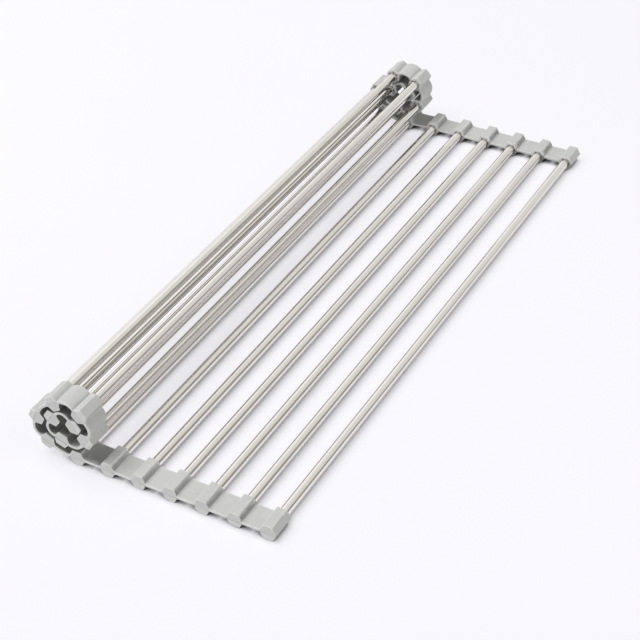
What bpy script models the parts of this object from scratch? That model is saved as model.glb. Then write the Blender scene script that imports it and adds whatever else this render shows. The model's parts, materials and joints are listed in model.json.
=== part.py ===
"""Roll-up dish drying rack, lying with one half flat and the other half wound up.

Fifteen hollow steel tubes lie side by side. Each end of every tube sits in a blind socket of a hexagonal
silicone lobe, and thin silicone webs join the lobes of each edge into one strip that bends like a chain
of hinges. Lobe 1 is at the free end, and lobe 15 is at the heart of the roll. A link is one lobe with its
share of the webs. In the flat half it holds the whole web that leads to the next lobe. In the wound half
each curved web is parted at its middle, so that its halves swing into a low arch as the roll opens flat.

X runs along the strips towards the free end, Y along the tubes, Z up from the surface that the rack
lies on. The origin is at the bottom centre of the whole rack.
"""

import math

import bmesh
import bpy
from mathutils import Matrix, Vector

MM = 0.001

# The whole rack
TUBE_COUNT = 15
FLAT_COUNT = 7
RACK_LENGTH = 420.0 * MM
TUBE_PITCH = 20.7 * MM

# Bend of each web of the wound half, from the lobe under the roll inwards, in degrees
WOUND_BENDS = (28.0, 88.5, 32.5, 78.0, 76.5, 75.5, 107.5, 111.5)

# Silicone strips
STRIP_WIDTH = 16.0 * MM
LOBE_WIDTH = 10.6 * MM
LOBE_HEIGHT = 9.5 * MM
LOBE_FLAT = 5.7 * MM
LOBE_ROUND = 0.7 * MM
FACE_EDGE = 0.35 * MM
WEB_THICKNESS = 1.8 * MM
WEB_FILLET = 0.4 * MM

# Steel tubes and their sockets
TUBE_DIAMETER = 6.0 * MM
TUBE_WALL = 0.5 * MM
SOCKET_END_WALL = 4.0 * MM
SOCKET_FLARE = 0.35 * MM

# Clearances
SOCKET_GAP = 0.3 * MM
HINGE_GAP = 0.6 * MM
LAYER_GAP = 0.4 * MM
CUT_OVERRUN = 1.0 * MM

# Facets
TUBE_SIDES = 20
ROUND_STEPS = 2
WEB_STEPS = 5
LOOSEN_STEP = 0.01

WEB_LENGTH = TUBE_PITCH - LOBE_WIDTH
SOCKET_RADIUS = TUBE_DIAMETER / 2 + SOCKET_GAP


def heading(angle):
    """Unit vector in the XZ plane, as a pair, for an angle measured from +X towards +Z."""
    return Vector((math.cos(angle), math.sin(angle)))


def left_of(direction):
    """The pair turned a quarter turn from +X towards +Z."""
    return Vector((-direction.y, direction.x))


def chord(angle, bend):
    """Straight run between the ends of a web that leaves along angle and turns clockwise by bend."""
    if bend == 0:
        return heading(angle) * WEB_LENGTH
    span = WEB_LENGTH * math.sin(bend / 2) / (bend / 2)
    return heading(angle - bend / 2) * span


def all_bends(tightness):
    """Bend of the web after each lobe, in radians: none while the strip lies flat, then the roll's."""
    flat = [0.0] * (FLAT_COUNT - 1)
    return flat + [math.radians(bend) * tightness for bend in WOUND_BENDS]


def lay_lobes(bends):
    """Centre and travel angle of each lobe, from the free end to the heart of the roll."""
    centre = Vector((0.0, LOBE_HEIGHT / 2))
    angle = math.pi
    lobes = [(centre.copy(), angle)]
    for bend in bends:
        start = centre + heading(angle) * (LOBE_WIDTH / 2)
        end = start + chord(angle, bend)
        angle -= bend
        centre = end + heading(angle) * (LOBE_WIDTH / 2)
        lobes.append((centre.copy(), angle))
    return lobes


def lobe_corners():
    """Sharp hexagon in the lobe's own plane: first along the strip, then towards the roll's outside."""
    point, flat, rise = LOBE_WIDTH / 2, LOBE_FLAT / 2, LOBE_HEIGHT / 2
    return [(-point, 0.0), (-flat, -rise), (flat, -rise), (point, 0.0), (flat, rise), (-flat, rise)]


def web_point(bend, share, side):
    """Point of a web's outline at a share of its length, half a thickness to one side of its middle."""
    length = WEB_LENGTH * share
    turn = -bend * share
    reach = Vector((length, 0.0))
    if bend != 0:
        radius = WEB_LENGTH / bend
        reach = Vector((-math.sin(turn), math.cos(turn) - 1)) * radius
    normal = left_of(heading(turn))
    return Vector((LOBE_WIDTH / 2, 0.0)) + reach + normal * (side * WEB_THICKNESS / 2)


def web_quads(bend):
    """The web as a row of four-cornered pieces, for the test of the roll's layers."""
    shares = [step / WEB_STEPS for step in range(WEB_STEPS + 1)]
    quads = []
    for first, last in zip(shares, shares[1:]):
        quads.append([web_point(bend, first, -1), web_point(bend, last, -1),
                      web_point(bend, last, 1), web_point(bend, first, 1)])
    return quads


def placed(points, lobe):
    """Points of a lobe's own plane in the rack's XZ plane."""
    centre, angle = lobe
    along = heading(angle)
    out = left_of(along)
    return [centre + along * point[0] + out * point[1] for point in points]


def gap_between(first, second):
    """Widest gap that a straight line along one side can show between two convex outlines."""
    widest = -RACK_LENGTH
    for outline, other in ((first, second), (second, first)):
        for start, end in zip(outline, outline[1:] + outline[:1]):
            normal = -left_of((end - start).normalized())
            widest = max(widest, min((point - start).dot(normal) for point in other))
    return widest


def least_layer_gap(bends):
    """Smallest gap between lobes, or a lobe and a web, that are not next to each other."""
    lobes = lay_lobes(bends)
    hexagons = [placed(lobe_corners(), lobe) for lobe in lobes]
    webs = [[placed(quad, lobes[i]) for quad in web_quads(bend)] for i, bend in enumerate(bends)]
    least = RACK_LENGTH
    for i in range(FLAT_COUNT - 1, TUBE_COUNT):
        for j in range(FLAT_COUNT - 1, TUBE_COUNT):
            if abs(i - j) >= 2:
                least = min(least, gap_between(hexagons[i], hexagons[j]))
            if j < len(webs) and j not in (i, i - 1):
                least = min(least, min(gap_between(hexagons[i], quad) for quad in webs[j]))
    return least


def wound_bends():
    """The roll's bends, eased together until its layers clear each other."""
    tightness = 1.0
    while tightness > 0 and least_layer_gap(all_bends(tightness)) < LAYER_GAP:
        tightness -= LOOSEN_STEP
    return all_bends(tightness)


def hinge_offset(bend):
    """Hinge point in the plane of the lobe before it: about it, the bent web turns to a straight one."""
    inset = 0.0
    if bend != 0:
        inset = WEB_LENGTH * (1 / bend - 1 / (2 * math.tan(bend / 2)))
    return ((LOBE_WIDTH + WEB_LENGTH) / 2, -inset)


def rounded(corners, radii):
    """Closed outline with each corner turned by an arc of its own radius; a radius of zero stays sharp."""
    outline = []
    for i, corner in enumerate(corners):
        corner = Vector(corner)
        if radii[i] == 0:
            outline.append(corner)
            continue
        back = (Vector(corners[i - 1]) - corner).normalized()
        ahead = (Vector(corners[(i + 1) % len(corners)]) - corner).normalized()
        half = back.angle(ahead) / 2
        middle = corner + (back + ahead).normalized() * (radii[i] / math.sin(half))
        first = corner + back * (radii[i] / math.tan(half)) - middle
        last = corner + ahead * (radii[i] / math.tan(half)) - middle
        for step in range(ROUND_STEPS + 1):
            share = step / ROUND_STEPS
            spoke = first.lerp(last, share).normalized() * radii[i]
            outline.append(middle + spoke)
    return outline


def web_outline(bend, end_share):
    """Side view of the part of a web that its lobe carries, from the inner root round to the outer root."""
    steps = WEB_STEPS if bend != 0 else 1
    shares = [end_share * step / steps for step in range(1, steps + 1)]
    slope = (LOBE_WIDTH - LOBE_FLAT) / LOBE_HEIGHT
    root = LOBE_WIDTH / 2 - slope * WEB_THICKNESS / 2
    inner = [Vector((root, -WEB_THICKNESS / 2))] + [web_point(bend, share, -1) for share in shares]
    outer = [web_point(bend, share, 1) for share in reversed(shares)]
    return inner + outer + [Vector((root, WEB_THICKNESS / 2))]


def link_outline(bends, number):
    """Side view of a link: its lobe's rounded hexagon with the whole or half webs that it carries."""
    whole_share = 1 - HINGE_GAP / WEB_LENGTH
    half_share = (1 - HINGE_GAP / WEB_LENGTH) / 2
    corners = [Vector(point) for point in lobe_corners()]
    behind, ahead = [corners[0]], [corners[3]]
    if number < len(bends):
        is_flat = bends[number] == 0
        ahead = web_outline(bends[number], whole_share if is_flat else half_share)
    if number > 0 and bends[number - 1] != 0:
        half_web = web_outline(bends[number - 1], half_share)
        behind = [Vector((-point.x, point.y)) for point in reversed(half_web)]
    points, radii = [], []
    for run in (behind, corners[1:3], ahead, corners[4:]):
        is_web = run is ahead or run is behind
        points += run
        if is_web and len(run) > 1:
            radii += [WEB_FILLET] + [0.0] * (len(run) - 2) + [WEB_FILLET]
        else:
            radii += [LOBE_ROUND] * len(run)
    return rounded(points, radii)


def material(name, colour, roughness, metallic):
    """Principled material of one colour."""
    made = bpy.data.materials.new(name)
    made.use_nodes = True
    shader = made.node_tree.nodes["Principled BSDF"]
    shader.inputs["Base Color"].default_value = (*colour, 1.0)
    shader.inputs["Roughness"].default_value = roughness
    shader.inputs["Metallic"].default_value = metallic
    return made


def add_object(name, mesh, finish, parent):
    """Object of a mesh, held by a parent empty."""
    made = bpy.data.objects.new(name, mesh)
    if finish:
        mesh.materials.append(finish)
    made.parent = parent
    bpy.context.scene.collection.objects.link(made)
    return made


def add_empty(name, point, parent):
    """Empty at a point of the XZ plane, given in the rack's own frame."""
    made = bpy.data.objects.new(name, None)
    made.empty_display_size = LOBE_WIDTH
    made.location = (point.x, 0.0, point.y)
    if parent:
        made.location.x -= parent["rack_x"]
        made.location.z -= parent["rack_z"]
        made.parent = parent
    made["rack_x"] = point.x
    made["rack_z"] = point.y
    bpy.context.scene.collection.objects.link(made)
    return made


def seat_at_lobe(made, holder, lobe, y):
    """Place a piece at its lobe's centre, turned so that its own X runs along the strip."""
    centre, angle = lobe
    made.location = (centre.x - holder["rack_x"], y, centre.y - holder["rack_z"])
    made.rotation_euler = (0.0, -angle, 0.0)


def revolved(name, profile):
    """Closed mesh of a profile of (radius, y) points turned about the Y axis."""
    shape = bmesh.new()
    ring = [shape.verts.new((radius, y, 0.0)) for radius, y in profile]
    edges = [shape.edges.new((ring[i - 1], ring[i])) for i in range(len(ring))]
    bmesh.ops.spin(shape, geom=ring + edges, cent=(0.0, 0.0, 0.0), axis=(0.0, 1.0, 0.0),
                   angle=math.tau, steps=TUBE_SIDES, use_merge=True, use_duplicate=False)
    bmesh.ops.recalc_face_normals(shape, faces=shape.faces)
    mesh = bpy.data.meshes.new(name)
    shape.to_mesh(mesh)
    shape.free()
    mesh.shade_smooth()
    mesh.set_sharp_from_angle(angle=math.radians(40))
    return mesh


def tube_mesh():
    """Plain hollow tube, open at both ends, reaching nearly to the bottom of both sockets."""
    half = RACK_LENGTH / 2 - SOCKET_END_WALL - SOCKET_GAP
    outer = TUBE_DIAMETER / 2
    inner = outer - TUBE_WALL
    return revolved("tube", [(inner, -half), (outer, -half), (outer, half), (inner, half)])


def socket_mesh():
    """Cutter for a blind socket with a flared mouth; its Y runs from the bottom out of the mouth."""
    depth = STRIP_WIDTH - SOCKET_END_WALL
    mouth = SOCKET_RADIUS + SOCKET_FLARE
    shape = bmesh.new()
    rings = []
    for radius, y in ((SOCKET_RADIUS, 0.0), (SOCKET_RADIUS, depth - SOCKET_FLARE),
                      (mouth, depth), (mouth, depth + CUT_OVERRUN)):
        turns = [math.tau * i / TUBE_SIDES for i in range(TUBE_SIDES)]
        rings.append([shape.verts.new((radius * math.cos(t), y, radius * math.sin(t))) for t in turns])
    for low, high in zip(rings, rings[1:]):
        for i in range(TUBE_SIDES):
            shape.faces.new((low[i - 1], low[i], high[i], high[i - 1]))
    shape.faces.new(rings[0])
    shape.faces.new(rings[-1])
    bmesh.ops.recalc_face_normals(shape, faces=shape.faces)
    mesh = bpy.data.meshes.new("socket")
    shape.to_mesh(mesh)
    shape.free()
    return mesh


def link_mesh(name, outline):
    """A link's outline drawn out over the strip's width, centred on its own Y, with bevelled rims."""
    shape = bmesh.new()
    half = STRIP_WIDTH / 2
    face = shape.faces.new([shape.verts.new((point.x, -half, point.y)) for point in outline])
    drawn = bmesh.ops.extrude_face_region(shape, geom=[face])
    moved = [part for part in drawn["geom"] if isinstance(part, bmesh.types.BMVert)]
    bmesh.ops.translate(shape, verts=moved, vec=(0.0, STRIP_WIDTH, 0.0))
    bmesh.ops.recalc_face_normals(shape, faces=shape.faces)
    sides = [face for face in shape.faces if len(face.verts) == len(outline)]
    rims = {edge for face in sides for edge in face.edges}
    bmesh.ops.bevel(shape, geom=list(rims), offset=FACE_EDGE, offset_type="OFFSET", segments=1,
                    affect="EDGES")
    mesh = bpy.data.meshes.new(name)
    shape.to_mesh(mesh)
    shape.free()
    mesh.shade_smooth()
    mesh.set_sharp_from_angle(angle=math.radians(40))
    return mesh


def cut_socket(made, cutter):
    """Cut the tube's blind socket out of a link."""
    cut = made.modifiers.new("socket", "BOOLEAN")
    cut.operation = "DIFFERENCE"
    cut.solver = "EXACT"
    cut.object = cutter


def add_cutter(name, mesh, holder, lobe, side):
    """Hidden socket cutter in one lobe, its mouth towards the middle of the rack."""
    cutter = add_object(name, mesh, None, holder)
    bottom = side * (RACK_LENGTH / 2 - SOCKET_END_WALL)
    seat_at_lobe(cutter, holder, lobe, bottom)
    if side > 0:
        cutter.rotation_euler.z = math.pi
    cutter.hide_render = True
    cutter.display_type = "WIRE"
    return cutter


def rack_extent(lobes, outlines):
    """Lowest and highest X of all the links' outlines."""
    across = [point.x for outline, lobe in zip(outlines, lobes) for point in placed(outline, lobe)]
    return min(across), max(across)


def build():
    """The whole rack, each bar and its two links held by an empty on the hinge that carries them."""
    for old in list(bpy.data.objects):
        bpy.data.objects.remove(old, do_unlink=True)
    silicone = material("silicone", (0.53, 0.54, 0.53), 0.6, 0.0)
    steel = material("steel", (0.74, 0.73, 0.71), 0.22, 1.0)

    bends = wound_bends()
    lobes = lay_lobes(bends)
    outlines = [link_outline(bends, i) for i in range(TUBE_COUNT)]
    low, high = rack_extent(lobes, outlines)
    shift = Vector((-(low + high) / 2, 0.0))
    lobes = [(centre + shift, angle) for centre, angle in lobes]
    hinges = [placed([hinge_offset(bend)], lobe)[0] for bend, lobe in zip(bends, lobes)]

    root = FLAT_COUNT - 1
    holders = {root: add_empty(f"bar_{root + 1:02d}_place", lobes[root][0], None)}
    for i in range(root - 1, -1, -1):
        holders[i] = add_empty(f"bar_{i + 1:02d}_hinge", hinges[i], holders[i + 1])
    for i in range(root + 1, TUBE_COUNT):
        holders[i] = add_empty(f"bar_{i + 1:02d}_hinge", hinges[i - 1], holders[i - 1])

    tube = tube_mesh()
    tube.materials.append(steel)
    socket = socket_mesh()
    middle = (RACK_LENGTH - STRIP_WIDTH) / 2
    for i, lobe in enumerate(lobes):
        number = f"{i + 1:02d}"
        holder = holders[i]
        bar = add_object(f"steel_tube_{number}", tube, None, holder)
        seat_at_lobe(bar, holder, lobe, 0.0)
        for word, side in (("near", -1), ("far", 1)):
            mesh = link_mesh(f"{word}_link_{number}", outlines[i])
            link = add_object(f"{word}_strip_link_{number}", mesh, silicone, holder)
            seat_at_lobe(link, holder, lobe, side * middle)
            cut_socket(link, add_cutter(f"{word}_socket_{number}", socket, holder, lobe, side))


build()
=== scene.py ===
"""Roll-up dish drying rack, half flat and half wound up: its finished surfaces, light and camera."""

import json
import math

import bmesh
import bpy
from mathutils import Matrix, Vector


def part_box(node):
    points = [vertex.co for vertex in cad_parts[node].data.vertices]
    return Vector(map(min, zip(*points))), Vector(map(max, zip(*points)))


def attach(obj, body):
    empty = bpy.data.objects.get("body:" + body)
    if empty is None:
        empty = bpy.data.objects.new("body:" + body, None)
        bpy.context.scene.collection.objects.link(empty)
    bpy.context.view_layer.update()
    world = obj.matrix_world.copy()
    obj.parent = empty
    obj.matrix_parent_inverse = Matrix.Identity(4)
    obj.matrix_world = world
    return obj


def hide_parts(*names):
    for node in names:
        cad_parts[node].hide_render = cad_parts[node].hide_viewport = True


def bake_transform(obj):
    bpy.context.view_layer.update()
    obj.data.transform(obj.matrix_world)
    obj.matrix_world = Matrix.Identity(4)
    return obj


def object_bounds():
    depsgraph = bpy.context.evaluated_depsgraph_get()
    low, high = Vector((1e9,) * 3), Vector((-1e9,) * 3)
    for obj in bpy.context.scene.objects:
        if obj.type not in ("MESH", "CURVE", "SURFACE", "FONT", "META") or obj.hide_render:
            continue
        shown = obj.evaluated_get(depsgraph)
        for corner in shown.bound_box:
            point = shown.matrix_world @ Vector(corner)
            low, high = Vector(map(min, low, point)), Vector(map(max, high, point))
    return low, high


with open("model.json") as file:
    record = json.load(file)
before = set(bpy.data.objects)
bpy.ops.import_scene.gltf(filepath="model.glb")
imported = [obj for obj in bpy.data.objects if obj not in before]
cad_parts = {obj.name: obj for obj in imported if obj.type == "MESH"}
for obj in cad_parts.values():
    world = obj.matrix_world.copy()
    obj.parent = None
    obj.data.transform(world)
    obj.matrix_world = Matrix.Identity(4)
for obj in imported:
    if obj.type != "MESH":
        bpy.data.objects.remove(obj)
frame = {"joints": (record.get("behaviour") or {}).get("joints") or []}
cad_low, cad_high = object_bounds()

MM = 0.001
COUNT = 15
SIDES = {"near": -1, "far": 1}
JOINTS = {joint["name"]: joint for joint in frame["joints"]}

# Lobes of the silicone strips. EDGE_REACH is how far from a rounded edge its flat face has its next points.
STRIP_WIDTH = 16.0 * MM
LOBE_WIDTH = 10.6 * MM
LOBE_HEIGHT = 9.5 * MM
LOBE_FLAT = 5.7 * MM
LOBE_ROUND = 0.6 * MM
LEAST_ROUND = 0.15 * MM
CORNER_STEPS = 4
OUTER_RIM = 0.4 * MM
OUTER_RIM_STEPS = 3
INNER_RIM = 0.3 * MM
INNER_RIM_STEPS = 2
PARTING_PLACE = 1.15 * MM
PARTING_SLOPE = 0.12 * MM
PARTING_STEP = 0.22 * MM
EDGE_REACH = 0.4 * MM

# Sockets in the lobes' inner ends
SOCKET_RADIUS = 3.25 * MM
SOCKET_WALL = 4.0 * MM
MOUTH_RADIUS = 3.5 * MM
MOUTH_EASE = 0.07 * MM
MOUTH_EASE_DEPTH = 0.12 * MM
MOUTH_DEPTH = 0.35 * MM

# Webs between the lobes
WEB_LENGTH = 10.1 * MM
WEB_THICKNESS = 1.8 * MM
WEB_STEPS = 20
WEB_RIM = 0.45 * MM
WEB_RIM_STEPS = 3
WEB_ROOT = 1.3 * MM
WEB_ROOT_STEPS = 2
WEB_TUCK = 0.6 * MM
WEB_FILLET = 0.2 * MM
FILLET_REACH = 0.9 * MM

# Tubes
TUBE_RADIUS = 3.0 * MM
TUBE_WALL = 0.5 * MM
TUBE_LIP = 0.12 * MM
TUBE_SIDES = 56
TUBE_CUTS = 12

# Edges sharper than these angles, in degrees, stay sharp.
LOBE_SHARP = 38
WEB_SHARP = 50
TUBE_SHARP = 40

# Silicone. A noise is given as scale, detail and roughness, and a ramp as stops of place and value.
CLOUD_NOISE = (170.0, 3.0, 0.55)
GRAIN_NOISE = (1500.0, 2.0, 0.6)
SILICONE_TONES = [(0.3, (0.545, 0.548, 0.532)), (0.7, (0.58, 0.584, 0.567))]
SPECK_TONES = [(0.35, 0.93), (0.65, 1.05)]
SPECK_SHARE = 0.6
# Painted highlight: the silicone's edges are paled by pointiness.
EDGE_HIGHLIGHT_PARTS = [(0.505, 0.0), (0.57, 0.5)]
EDGE_HIGHLIGHT_COLOUR = (0.84, 0.84, 0.825)
# Painted shade: the silicone's concave creases are darkened by pointiness.
CREASE_SHADE_TONES = [(0.43, 0.7), (0.495, 1.0)]
SILICONE_ROUGHNESS = [(0.3, 0.46), (0.7, 0.56)]
SILICONE_IOR = 1.41
GRAIN_BUMP = (0.12, 0.12 * MM)

# Steel. DRAWN_STRETCH draws the noise out into lines along the tube.
DRAWN_NOISE = (1100.0, 2.0, 0.5)
DRAWN_STRETCH = (1.0, 0.012, 1.0)
MARKS_NOISE = (60.0, 4.0, 0.6)
STEEL_TONES = [(0.3, (0.775, 0.744, 0.715)), (0.7, (0.815, 0.787, 0.765))]
HAZE_TONES = [(0.35, 0.96), (0.7, 1.02)]
HAZE_SHARE = 0.7
STEEL_ROUGHNESS = [(0.3, 0.06), (0.75, 0.11)]
STEEL_EDGE_TINT = (0.6, 0.58, 0.56, 1.0)
DRAWN_BUMP = (0.03, 0.03 * MM)

# Floor. Its lift is the light of its own that makes it white where it is seen. A reflection in one mirror
# has a ray depth below FLOOR_FIRST_MIRROR, and a mirror's mirror has more.
WHITE_SEEN = (0.973, 0.973, 0.99, 1.0)
FLOOR_HALF_SIZE = 4.0
FLOOR_GAP = 0.05 * MM
PAPER_SCALE = 9.0
PAPER_DETAIL = 2.0
PAPER_TONES = [(0.3, (0.216, 0.212, 0.218)), (0.7, (0.219, 0.215, 0.221))]
PAPER_ROUGHNESS = 0.9
PAPER_SPECULAR = 0.2
LIFT_COLOUR = (0.97, 0.96, 1.0, 1.0)
FLOOR_LIFT = 0.752
MIRRORED_LIFT = 1.185
LATER_LIFT = 0.49
CONTACT_REACH = 6.0 * MM
CONTACT_SAMPLES = 8
CONTACT_TONES = [(0.33, 0.0), (0.5, 0.72), (0.8, 1.0)]
HORIZON_PARTS = [(0.4, 0.0), (0.95, 1.0)]
FLOOR_FIRST_MIRROR = 1.5

# World. The tent is what metal mirrors, from its left at 0 to its right at 1. Here a reflection in one
# mirror has a ray depth below WORLD_FIRST_MIRROR.
AMBIENT = 0.02
AMBIENT_COLOUR = (0.98, 0.985, 1.0, 1.0)
TENT_STRENGTH = 1.25
TENT_TONES = [(0.16, (1.0, 1.0, 0.99)), (0.3, (0.86, 0.86, 0.845)), (0.45, (0.695, 0.695, 0.675)),
              (0.808, (0.66, 0.66, 0.635)), (0.832, (0.3, 0.285, 0.265))]
TENT_LATER = (0.52, 0.5, 0.475)
WORLD_FIRST_MIRROR = 2.5

# Lamps: name, width and height, power, place, the point that it faces, and colour
RACK_MIDDLE = (0.0, 0.0, 0.0)
ROLL_MIDDLE = (-0.05, 0.0, 0.02)
NEUTRAL = (1.0, 1.0, 1.0)
COOL = (0.975, 0.98, 1.0)
LAMPS = [
    ("overhead", (1.35, 1.35), 36.2, (-0.83, -0.12, 1.62), RACK_MIDDLE, NEUTRAL),
    ("front", (0.12, 0.08), 13.6, (-0.05, -1.6, 0.05), ROLL_MIDDLE, COOL),
    ("back", (0.12, 0.08), 9.0, (-0.05, 1.6, 0.05), ROLL_MIDDLE, COOL),
    ("right", (0.5, 0.12), 6.3, (1.2, 0.0, 0.1), RACK_MIDDLE, NEUTRAL),
    ("fill", (0.5, 0.5), 2.7, (0.82, 0.0, 0.88), RACK_MIDDLE, NEUTRAL),
]

# Camera, with its angles in degrees
CAMERA_AZIMUTH = 31.2085
CAMERA_ELEVATION = 38.0736
CAMERA_ROLL = -2.5987
CAMERA_DISTANCE = 951.97 * MM
CAMERA_TARGET = Vector((6.375, -34.278, 0.0)) * MM
CAMERA_LENS = 86.11
CAMERA_SENSOR = 36.0
CAMERA_CLIP = (0.05, 20.0)


def name_of(number):
    """Two-digit number that the rack's names use."""
    return f"{number:02d}"


def bend_after(number):
    """How far the web after a lobe bends at rest, in radians: the hinge's range is what straightens it."""
    joint = JOINTS.get(f"unwind_{name_of(number)}_{name_of(number + 1)}")
    return math.radians(joint["range_deg"][1]) if joint else 0.0


def lobe_places():
    """Centre in the XZ plane and travel angle of each lobe, by its number."""
    places = {}
    angle = math.pi
    for number in range(1, COUNT + 1):
        low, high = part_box(f"steel_tube_{name_of(number)}")
        places[number] = (Vector(((low.x + high.x) / 2, (low.z + high.z) / 2)), angle)
        angle -= bend_after(number)
    return places


def skin(shape, rings):
    """Faces between each ring of points and the next."""
    for low, high in zip(rings, rings[1:]):
        for i in range(len(low)):
            shape.faces.new((low[i - 1], low[i], high[i], high[i - 1]))


def finish_mesh(shape, name, sharp_degrees):
    """Mesh of a bmesh, smooth apart from edges sharper than an angle."""
    bmesh.ops.recalc_face_normals(shape, faces=shape.faces)
    mesh = bpy.data.meshes.new(name)
    shape.to_mesh(mesh)
    shape.free()
    mesh.shade_smooth()
    mesh.set_sharp_from_angle(angle=math.radians(sharp_degrees))
    return mesh


def add_piece(name, mesh, finish):
    """New object of a mesh with a material and a weighted-normal modifier."""
    made = bpy.data.objects.new(name, mesh)
    bpy.context.scene.collection.objects.link(made)
    if not mesh.materials:
        mesh.materials.append(finish)
    weighted = made.modifiers.new("even_normals", "WEIGHTED_NORMAL")
    weighted.keep_sharp = True
    return made


def rounded_hexagon(inset):
    """Lobe outline moved inwards by an inset, with rounded corners: always the same number of points."""
    point, flat, rise = LOBE_WIDTH / 2, LOBE_FLAT / 2, LOBE_HEIGHT / 2
    corners = [Vector(c) for c in ((-point, 0.0), (-flat, -rise), (flat, -rise),
                                   (point, 0.0), (flat, rise), (-flat, rise))]
    outline = []
    for i, corner in enumerate(corners):
        back = (corners[i - 1] - corner).normalized()
        ahead = (corners[(i + 1) % len(corners)] - corner).normalized()
        half = back.angle(ahead) / 2
        inward = (back + ahead).normalized()
        radius = max(LOBE_ROUND - inset, LEAST_ROUND)
        middle = corner + inward * ((inset + radius) / math.sin(half))
        first = back * (radius / math.tan(half)) - inward * (radius / math.sin(half))
        last = ahead * (radius / math.tan(half)) - inward * (radius / math.sin(half))
        arc = [middle + first.lerp(last, step / CORNER_STEPS).normalized() * radius
               for step in range(CORNER_STEPS + 1)]
        outline += [arc[0] + back * EDGE_REACH, *arc, arc[-1] + ahead * EDGE_REACH]
    return outline


def lobe_mesh(name, side):
    """Lobe with its closed outer end at side (-1 near, 1 far), a socket in the other, and a parting step."""
    shape = bmesh.new()
    half = STRIP_WIDTH / 2
    rings = [(rounded_hexagon(OUTER_RIM + EDGE_REACH), -half)]
    for step in range(OUTER_RIM_STEPS + 1):
        turn = math.pi / 2 * step / OUTER_RIM_STEPS
        inset = OUTER_RIM * (1 - math.sin(turn))
        rings.append((rounded_hexagon(inset), -half + OUTER_RIM * (1 - math.cos(turn))))
    rings.append((rounded_hexagon(0.0), -half + OUTER_RIM + EDGE_REACH))
    rings.append((rounded_hexagon(0.0), half - INNER_RIM - EDGE_REACH))
    for step in range(INNER_RIM_STEPS + 1):
        turn = math.pi / 2 * step / INNER_RIM_STEPS
        inset = INNER_RIM * (1 - math.cos(turn))
        rings.append((rounded_hexagon(inset), half - INNER_RIM * (1 - math.sin(turn))))
    turns = [math.atan2(p.y, p.x) for p in rings[-1][0]]
    socket = [(MOUTH_RADIUS, half), (SOCKET_RADIUS + MOUTH_EASE, half - MOUTH_EASE_DEPTH),
              (SOCKET_RADIUS, half - MOUTH_DEPTH), (SOCKET_RADIUS, -half + SOCKET_WALL)]
    for radius, y in socket:
        rings.append(([Vector((radius * math.cos(t), radius * math.sin(t))) for t in turns], y))
    made = [[shape.verts.new((p.x, y, p.y)) for p in outline] for outline, y in rings]
    skin(shape, made)
    shape.faces.new(made[0])
    shape.faces.new(made[-1])
    for height in (PARTING_PLACE, PARTING_PLACE + PARTING_SLOPE):
        geom = list(shape.verts) + list(shape.edges) + list(shape.faces)
        bmesh.ops.bisect_plane(shape, geom=geom, plane_co=(0.0, 0.0, height), plane_no=(0.0, 0.0, 1.0))
    for vert in shape.verts:
        near_end = 1 - (vert.co.y + half) / OUTER_RIM
        if near_end > 0 and vert.co.z < PARTING_PLACE + PARTING_SLOPE / 2:
            vert.co.y += PARTING_STEP * near_end
    if side > 0:
        bmesh.ops.scale(shape, verts=shape.verts, vec=(1.0, -1.0, 1.0))
    return finish_mesh(shape, name, LOBE_SHARP)


def web_course(place, bend):
    """Middle line of a web as (point, direction, distance from the nearer lobe, tuck of its rims)."""
    centre, angle = place
    along = Vector((math.cos(angle), math.sin(angle)))
    start = centre + along * (LOBE_WIDTH / 2)
    course = []
    for step in range(-WEB_ROOT_STEPS, WEB_STEPS + WEB_ROOT_STEPS + 1):
        share = min(max(step / WEB_STEPS, 0.0), 1.0)
        turn = bend * share
        heading = Vector((math.cos(angle - turn), math.sin(angle - turn)))
        spot = start + along * (WEB_LENGTH * share)
        if bend:
            radius = WEB_LENGTH / bend
            normal = Vector((-math.sin(angle), math.cos(angle)))
            spot = start + along * (radius * math.sin(turn)) - normal * (radius * (1 - math.cos(turn)))
        beyond = 0.0
        if step < 0:
            beyond = step / WEB_ROOT_STEPS * WEB_ROOT
        elif step > WEB_STEPS:
            beyond = (step - WEB_STEPS) / WEB_ROOT_STEPS * WEB_ROOT
        distance = min(share, 1 - share) * WEB_LENGTH - abs(beyond)
        tuck = WEB_TUCK * min(1.0, abs(beyond) / (WEB_ROOT / 2))
        course.append((spot + heading * beyond, heading, distance, tuck))
    return course


def web_mesh(name, course, middle_y):
    """Strip swept along its middle line, with rounded rims and a little fillet at each root."""
    shape = bmesh.new()
    rings = []
    for spot, heading, distance, tuck in course:
        normal = Vector((-heading.y, heading.x))
        flare = WEB_FILLET * max(0.0, 1 - (distance + LOBE_ROUND / 2) / FILLET_REACH) ** 2
        thick = WEB_THICKNESS / 2 + min(flare, WEB_FILLET)
        ring = []
        for corner in range(4):
            across = -1 if corner in (0, 3) else 1
            over = -1 if corner in (0, 1) else 1
            y_mid = across * (STRIP_WIDTH / 2 - WEB_RIM - tuck)
            n_mid = over * (thick - WEB_RIM)
            turns = [math.pi + math.pi / 2 * (corner + step / WEB_RIM_STEPS)
                     for step in range(WEB_RIM_STEPS + 1)]
            spots = [(y_mid + WEB_RIM * math.cos(t), n_mid + WEB_RIM * math.sin(t)) for t in turns]
            beside = (y_mid - across * EDGE_REACH, over * thick)
            for y, out in ([beside, *spots] if corner in (1, 3) else [*spots, beside]):
                point = spot + normal * out
                ring.append(shape.verts.new((point.x, middle_y + y, point.y)))
        rings.append(ring)
    skin(shape, rings)
    shape.faces.new(rings[0])
    shape.faces.new(rings[-1])
    return finish_mesh(shape, name, WEB_SHARP)


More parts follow.
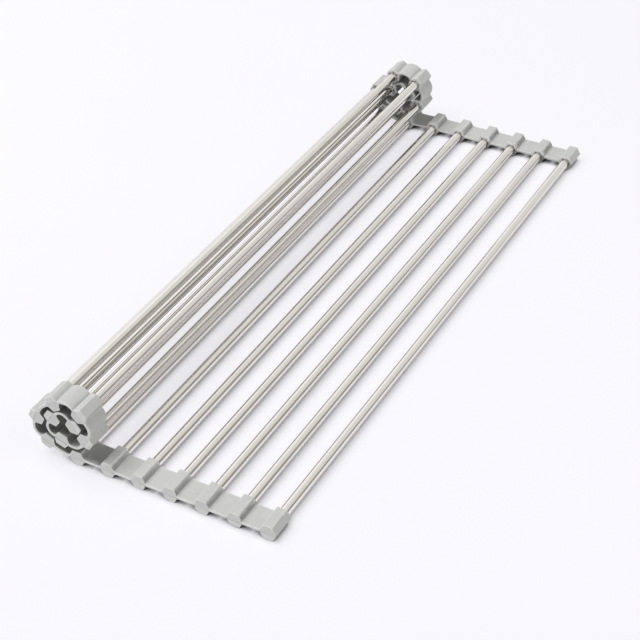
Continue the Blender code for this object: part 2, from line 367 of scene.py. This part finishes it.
def tube_mesh(name, half_length):
    """Hollow tube along Y with softly broken end edges."""
    shape = bmesh.new()
    inner = TUBE_RADIUS - TUBE_WALL
    lip = [(inner, -half_length + TUBE_LIP), (inner + TUBE_LIP, -half_length),
           (TUBE_RADIUS - TUBE_LIP, -half_length), (TUBE_RADIUS, -half_length + TUBE_LIP)]
    outside = [(TUBE_RADIUS, -half_length + TUBE_LIP + (half_length - TUBE_LIP) * 2 * i / TUBE_CUTS)
               for i in range(1, TUBE_CUTS)]
    far_lip = [(radius, -y) for radius, y in reversed(lip)]
    turns = [math.tau * i / TUBE_SIDES for i in range(TUBE_SIDES)]
    rings = []
    for radius, y in lip + outside + far_lip:
        rings.append([shape.verts.new((radius * math.cos(t), y, radius * math.sin(t))) for t in turns])
    skin(shape, rings + rings[:1])
    return finish_mesh(shape, name, TUBE_SHARP)


def node(tree, kind, **values):
    """New shader node with some of its plain properties and inputs set."""
    made = tree.nodes.new(kind)
    for key, value in values.items():
        if key in made.inputs:
            made.inputs[key].default_value = value
        else:
            setattr(made, key, value)
    return made


def start_material(name):
    """Material with an empty Principled shader; returns it, its tree, shader and object coordinates."""
    made = bpy.data.materials.new(name)
    made.use_nodes = True
    tree = made.node_tree
    tree.nodes.clear()
    shader = tree.nodes.new("ShaderNodeBsdfPrincipled")
    out = tree.nodes.new("ShaderNodeOutputMaterial")
    tree.links.new(shader.outputs["BSDF"], out.inputs["Surface"])
    where = tree.nodes.new("ShaderNodeTexCoord")
    return made, tree, shader, where.outputs["Object"]


def ramp(tree, source, stops):
    """Colour ramp fed by a value, with (place, grey or colour) stops."""
    made = tree.nodes.new("ShaderNodeValToRGB")
    elements = made.color_ramp.elements
    while len(elements) < len(stops):
        elements.new(0.5)
    for element, (place, colour) in zip(elements, stops):
        element.position = place
        element.color = (*colour, 1.0) if isinstance(colour, tuple) else (colour, colour, colour, 1.0)
    tree.links.new(source, made.inputs["Fac"])
    return made.outputs["Color"]


def mixed(tree, mode, share, first, second):
    """Colour mix of two sockets or colours; share is a number or a socket."""
    made = tree.nodes.new("ShaderNodeMix")
    made.data_type = "RGBA"
    made.blend_type = mode
    if isinstance(share, float):
        made.inputs["Factor"].default_value = share
    else:
        tree.links.new(share, made.inputs["Factor"])
    for socket, value in ((made.inputs[6], first), (made.inputs[7], second)):
        if isinstance(value, tuple):
            socket.default_value = (*value, 1.0)
        else:
            tree.links.new(value, socket)
    return made.outputs[2]


def mixed_shader(tree, share, first, second):
    """Shader mix of two sockets by a third one's value."""
    made = tree.nodes.new("ShaderNodeMixShader")
    tree.links.new(share, made.inputs["Fac"])
    tree.links.new(first, made.inputs[1])
    tree.links.new(second, made.inputs[2])
    return made.outputs["Shader"]


def calculated(tree, operation, first, second):
    """Result of a calculation with a socket and a second socket or number."""
    made = node(tree, "ShaderNodeMath", operation=operation)
    tree.links.new(first, made.inputs[0])
    if isinstance(second, float):
        made.inputs[1].default_value = second
    else:
        tree.links.new(second, made.inputs[1])
    return made.outputs["Value"]


def own_noise(tree, where, settings):
    """Noise at a place, different on each object; settings are its scale, detail and roughness."""
    scale, detail, roughness = settings
    made = node(tree, "ShaderNodeTexNoise", noise_dimensions="4D", Scale=scale, Detail=detail,
                Roughness=roughness)
    chance = tree.nodes.new("ShaderNodeObjectInfo")
    tree.links.new(where, made.inputs["Vector"])
    tree.links.new(chance.outputs["Random"], made.inputs["W"])
    return made.outputs["Fac"]


def add_bump(tree, shader, height, settings):
    """Bump of a shader from a height; settings are its strength and distance."""
    strength, distance = settings
    bump = node(tree, "ShaderNodeBump", Strength=strength, Distance=distance)
    tree.links.new(height, bump.inputs["Height"])
    tree.links.new(bump.outputs["Normal"], shader.inputs["Normal"])


def silicone_material():
    """Satin light grey silicone: faint mottling, fine mould grain, a painted highlight on its edges and
    painted shade in its creases.
    """
    made, tree, shader, where = start_material("silicone_grey")
    cloud = own_noise(tree, where, CLOUD_NOISE)
    grain = own_noise(tree, where, GRAIN_NOISE)
    pointed = tree.nodes.new("ShaderNodeNewGeometry").outputs["Pointiness"]
    broad = ramp(tree, cloud, SILICONE_TONES)
    speck = ramp(tree, grain, SPECK_TONES)
    coloured = mixed(tree, "MULTIPLY", SPECK_SHARE, broad, speck)
    # Painted highlight on the edges and painted shade in the creases, both by pointiness.
    edge_highlighted = mixed(tree, "MIX", ramp(tree, pointed, EDGE_HIGHLIGHT_PARTS), coloured, EDGE_HIGHLIGHT_COLOUR)
    crease_shaded = mixed(tree, "MULTIPLY", 1.0, edge_highlighted, ramp(tree, pointed, CREASE_SHADE_TONES))
    tree.links.new(crease_shaded, shader.inputs["Base Color"])
    tree.links.new(ramp(tree, cloud, SILICONE_ROUGHNESS), shader.inputs["Roughness"])
    shader.inputs["IOR"].default_value = SILICONE_IOR
    add_bump(tree, shader, grain, GRAIN_BUMP)
    return made


def steel_material():
    """Polished stainless tube: drawn lines along its length and faint handling marks."""
    made, tree, shader, where = start_material("tube_steel")
    stretch = node(tree, "ShaderNodeMapping", Scale=DRAWN_STRETCH)
    tree.links.new(where, stretch.inputs["Vector"])
    drawn = own_noise(tree, stretch.outputs["Vector"], DRAWN_NOISE)
    marks = own_noise(tree, where, MARKS_NOISE)
    tone = ramp(tree, drawn, STEEL_TONES)
    haze = ramp(tree, marks, HAZE_TONES)
    tree.links.new(mixed(tree, "MULTIPLY", HAZE_SHARE, tone, haze), shader.inputs["Base Color"])
    tree.links.new(ramp(tree, marks, STEEL_ROUGHNESS), shader.inputs["Roughness"])
    shader.inputs["Metallic"].default_value = 1.0
    shader.inputs["Specular Tint"].default_value = STEEL_EDGE_TINT
    add_bump(tree, shader, drawn, DRAWN_BUMP)
    return made


def floor_material():
    """White studio floor that keeps shadows; in the open it is lifted to white where it is seen."""
    made, tree, shader, where = start_material("studio_floor")
    paper = node(tree, "ShaderNodeTexNoise", Scale=PAPER_SCALE, Detail=PAPER_DETAIL)
    tree.links.new(where, paper.inputs["Vector"])
    tree.links.new(ramp(tree, paper.outputs["Fac"], PAPER_TONES), shader.inputs["Base Color"])
    shader.inputs["Roughness"].default_value = PAPER_ROUGHNESS
    shader.inputs["Specular IOR Level"].default_value = PAPER_SPECULAR

    # Seen by the camera, in metal or through glass; fainter in a mirror's mirror.
    path = tree.nodes.new("ShaderNodeLightPath").outputs
    seen = calculated(tree, "MAXIMUM", path["Is Camera Ray"], path["Is Glossy Ray"])
    seen = calculated(tree, "MAXIMUM", seen, path["Is Transmission Ray"])
    first_mirror = calculated(tree, "LESS_THAN", path["Ray Depth"], FLOOR_FIRST_MIRROR)
    calmed = mixed(tree, "MIX", first_mirror, (LATER_LIFT,) * 3, (1.0, 1.0, 1.0))
    seen = calculated(tree, "MULTIPLY", seen, calmed)

    # The lift fades close to the rack by occlusion, which paints its contact shadow there.
    open_sky = node(tree, "ShaderNodeAmbientOcclusion", samples=CONTACT_SAMPLES, Distance=CONTACT_REACH)
    open_part = ramp(tree, open_sky.outputs["AO"], CONTACT_TONES)
    open_part = mixed(tree, "MIX", path["Is Camera Ray"], (MIRRORED_LIFT,) * 3, open_part)
    lift = calculated(tree, "MULTIPLY", calculated(tree, "MULTIPLY", seen, open_part), FLOOR_LIFT)
    shader.inputs["Emission Color"].default_value = LIFT_COLOUR
    tree.links.new(lift, shader.inputs["Emission Strength"])

    # Far from the rack the floor turns into the plain white behind it.
    reach = node(tree, "ShaderNodeVectorMath", operation="LENGTH")
    tree.links.new(where, reach.inputs[0])
    distant = ramp(tree, reach.outputs["Value"], HORIZON_PARTS)
    horizon = node(tree, "ShaderNodeEmission", Color=WHITE_SEEN, Strength=1.0)
    joined = mixed_shader(tree, calculated(tree, "MULTIPLY", seen, distant), shader.outputs["BSDF"],
                          horizon.outputs["Emission"])
    tree.links.new(joined, tree.nodes["Material Output"].inputs["Surface"])
    return made


def build_pieces():
    """Dress every body of the rack: a tube, two lobes, and webs that bend from body to body."""
    silicone = silicone_material()
    steel = steel_material()
    lobes = {word: lobe_mesh(f"{word}_lobe", side) for word, side in SIDES.items()}
    low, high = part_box("steel_tube_01")
    tube = tube_mesh("tube", (high.y - low.y) / 2)
    middle = (cad_high.y - cad_low.y) / 2 - STRIP_WIDTH / 2
    for number, (centre, angle) in lobe_places().items():
        body = f"bar_{name_of(number)}"
        bar = add_piece(f"tube_{name_of(number)}", tube, steel)
        bar.matrix_world = Matrix.Translation((centre.x, 0.0, centre.y))
        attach(bar, body)
        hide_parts(f"steel_tube_{name_of(number)}")
        for word, side in SIDES.items():
            turned = lobes[word].copy()
            turned.transform(Matrix.Rotation(-angle, 4, "Y"))
            lobe = add_piece(f"{word}_lobe_{name_of(number)}", turned, silicone)
            lobe.matrix_world = Matrix.Translation((centre.x, side * middle, centre.y))
            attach(lobe, body)
            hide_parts(f"{word}_strip_link_{name_of(number)}")
            if number == COUNT:
                continue
            course = web_course((centre, angle), bend_after(number))
            name = f"{word}_web_{name_of(number)}"
            web = add_piece(name, web_mesh(name, course, side * middle), silicone)
            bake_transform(web)


def add_light(name, size, power, spot, aim, colour):
    """Soft rectangular lamp at a spot, facing an aim; metal mirrors the tent instead of it."""
    lamp = bpy.data.lights.new(name, "AREA")
    lamp.shape = "RECTANGLE"
    lamp.size, lamp.size_y = size
    lamp.energy = power
    lamp.color = colour
    made = bpy.data.objects.new(name, lamp)
    made.visible_glossy = False
    made.location = spot
    made.rotation_mode = "QUATERNION"
    made.rotation_quaternion = (Vector(aim) - Vector(spot)).to_track_quat("-Z", "Y")
    bpy.context.scene.collection.objects.link(made)


def set_world():
    """Pale surroundings: white where seen; metal mirrors a tent, bright on the left and dark far right."""
    world = bpy.data.worlds.new("studio")
    bpy.context.scene.world = world
    world.use_nodes = True
    tree = world.node_tree
    tree.nodes.clear()
    out = tree.nodes.new("ShaderNodeOutputWorld")
    light = node(tree, "ShaderNodeBackground", Color=AMBIENT_COLOUR, Strength=AMBIENT)
    white = node(tree, "ShaderNodeBackground", Color=WHITE_SEEN, Strength=1.0)
    tent = node(tree, "ShaderNodeBackground", Strength=TENT_STRENGTH)

    # How far to the right a direction points, from 0 to 1
    where = tree.nodes.new("ShaderNodeTexCoord")
    parts = tree.nodes.new("ShaderNodeSeparateXYZ")
    tree.links.new(where.outputs["Generated"], parts.inputs["Vector"])
    rightward = node(tree, "ShaderNodeMath", operation="MULTIPLY_ADD")
    tree.links.new(parts.outputs["X"], rightward.inputs[0])
    rightward.inputs[1].default_value = 0.5
    rightward.inputs[2].default_value = 0.5

    # A mirror's mirror shows one calm tone of the tent.
    path = tree.nodes.new("ShaderNodeLightPath").outputs
    once = ramp(tree, rightward.outputs["Value"], TENT_TONES)
    again = calculated(tree, "GREATER_THAN", path["Ray Depth"], WORLD_FIRST_MIRROR)
    tree.links.new(mixed(tree, "MIX", again, once, TENT_LATER), tent.inputs["Color"])
    seen = mixed_shader(tree, path["Is Camera Ray"], light.outputs["Background"],
                        white.outputs["Background"])
    mirrored = mixed_shader(tree, path["Is Glossy Ray"], seen, tent.outputs["Background"])
    tree.links.new(mirrored, out.inputs["Surface"])


def add_floor():
    """Large floor under the rack's lowest face."""
    shape = bmesh.new()
    bmesh.ops.create_grid(shape, x_segments=1, y_segments=1, size=FLOOR_HALF_SIZE)
    mesh = bpy.data.meshes.new("floor")
    shape.to_mesh(mesh)
    shape.free()
    mesh.materials.append(floor_material())
    floor = bpy.data.objects.new("floor", mesh)
    floor.location = (0.0, 0.0, cad_low.z - FLOOR_GAP)
    bpy.context.scene.collection.objects.link(floor)


def add_camera():
    """Camera at the photograph's place, in the rack's frame."""
    azimuth = math.radians(CAMERA_AZIMUTH)
    elevation = math.radians(CAMERA_ELEVATION)
    roll = math.radians(CAMERA_ROLL)
    back = Vector((math.cos(elevation) * math.sin(azimuth), -math.cos(elevation) * math.cos(azimuth),
                   math.sin(elevation)))
    right = Vector((0.0, 0.0, 1.0)).cross(back).normalized()
    up = back.cross(right)
    turned_right = right * math.cos(roll) + up * math.sin(roll)
    turned_up = up * math.cos(roll) - right * math.sin(roll)
    data = bpy.data.cameras.new("camera")
    data.sensor_width = CAMERA_SENSOR
    data.lens = CAMERA_LENS
    data.clip_start, data.clip_end = CAMERA_CLIP
    camera = bpy.data.objects.new("camera", data)
    bpy.context.scene.collection.objects.link(camera)
    place = CAMERA_TARGET + back * CAMERA_DISTANCE
    axes = Matrix((turned_right, turned_up, back)).transposed().to_4x4()
    camera.matrix_world = Matrix.Translation(place) @ axes
    bpy.context.scene.camera = camera


build_pieces()
add_floor()
set_world()
for lamp_values in LAMPS:
    add_light(*lamp_values)
add_camera()
bpy.context.scene.view_settings.view_transform = "Standard"
